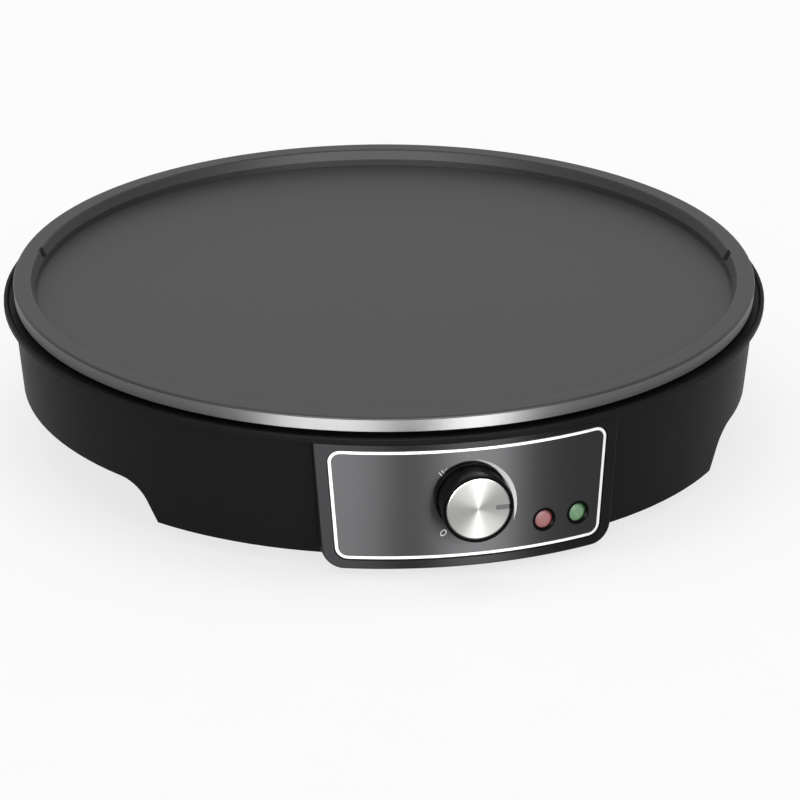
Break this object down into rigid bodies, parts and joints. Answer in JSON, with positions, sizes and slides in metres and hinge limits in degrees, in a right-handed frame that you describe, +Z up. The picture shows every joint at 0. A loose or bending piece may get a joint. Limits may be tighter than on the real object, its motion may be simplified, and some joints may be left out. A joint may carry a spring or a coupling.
{
  "type": "electric crepe maker",
  "caption": "Round electric crepe griddle with a raised-rim plate on a low moulded base, with a rotary heat control and pilot lamps on a curved front panel.",
  "frame": {"origin": "on the floor, at the centre of the whole object's outline", "axes": "+Z up; the control panel and knob face -Y; the cord inlet faces +Y; +X is to the right seen from the front"},
  "size_m": [0.3326, 0.3468, 0.07],
  "materials": {
    "plate_coating": "dark grey non-stick coat on cast aluminium",
    "base_plastic": "black, satin moulded",
    "cover_plastic": "black, fine moulded grain",
    "fascia_finish": "dark grey metallic lacquer, satin",
    "trim_plating": "bright plated",
    "knob_plastic": "black, satin",
    "knob_metal": "spun and brushed round",
    "pointer_plastic": "black",
    "red_lens": "translucent red",
    "green_lens": "translucent green",
    "lamp_ring_plastic": "black",
    "element_sheath": "heat-darkened steel",
    "ceramic": "unglazed",
    "zinc_steel": "zinc plated",
    "reflector_steel": "aluminised sheet",
    "foot_rubber": "matt",
    "phenolic": "phenolic moulding",
    "brass": "plain",
    "copper_tube": "copper",
    "fuse_case": "plain",
    "holder_plastic": "natural nylon",
    "lamp_glass": "clear",
    "resistor_coat": "lacquered",
    "live_insulation": "brown heat-proof insulation",
    "neutral_insulation": "blue heat-proof insulation",
    "earth_insulation": "green heat-proof insulation",
    "braid_sleeving": "glass braid",
    "block_nylon": "natural nylon"
  },
  "bodies": {
    "base": {"griddle_plate": "plate_coating", "base_housing": "base_plastic", "bottom_cover": "cover_plastic", "control_bezel": "fascia_finish", "fascia_panel": "fascia_finish", "trim_line": "trim_plating", "red_lens": "red_lens", "green_lens": "green_lens", "red_lens_ring": "lamp_ring_plastic", "green_lens_ring": "lamp_ring_plastic", "heating_element": "element_sheath", "heater_insulators": "ceramic", "heater_terminals": "zinc_steel", "element_clips": "zinc_steel", "clip_screws": "zinc_steel", "heat_reflector": "reflector_steel", "plate_screws": "zinc_steel", "cover_screws": "zinc_steel", "rubber_feet": "foot_rubber", "bezel_screws": "zinc_steel", "thermostat_body": "phenolic", "thermostat_frame": "zinc_steel", "thermostat_screws": "zinc_steel", "thermostat_terminals": "brass", "capillary_tube": "copper_tube", "thermostat_bulb": "copper_tube", "bulb_clip": "zinc_steel", "thermal_fuse": "fuse_case", "fuse_clip": "zinc_steel", "red_lamp_holder": "holder_plastic", "green_lamp_holder": "holder_plastic", "red_neon_lamp": "lamp_glass", "green_neon_lamp": "lamp_glass", "red_resistor": "resistor_coat", "green_resistor": "resistor_coat", "cord_grommet": "foot_rubber", "cord_clamp": "cover_plastic", "cord_clamp_screws": "zinc_steel", "terminal_block": "block_nylon", "terminal_screws": "brass", "block_screw": "zinc_steel", "earth_tab": "brass", "earth_screw": "zinc_steel", "live_lead": "live_insulation", "neutral_lead": "neutral_insulation", "earth_lead": "earth_insulation", "heater_lead": "braid_sleeving", "fuse_lead": "braid_sleeving", "lamp_leads": "braid_sleeving"},
    "knob": {"knob_body": "knob_plastic", "knob_cap": "knob_metal", "knob_pointer": "pointer_plastic", "thermostat_spindle": "zinc_steel", "knob_spring_clip": "zinc_steel"}
  },
  "joints": [
    {"name": "knob_turn", "type": "hinge", "parent": "base", "child": "knob", "pos_m": [-0.0017, -0.15843, 0.0354], "axis": [0, -1, 0], "range_deg": [-41, 230]}
  ]
}
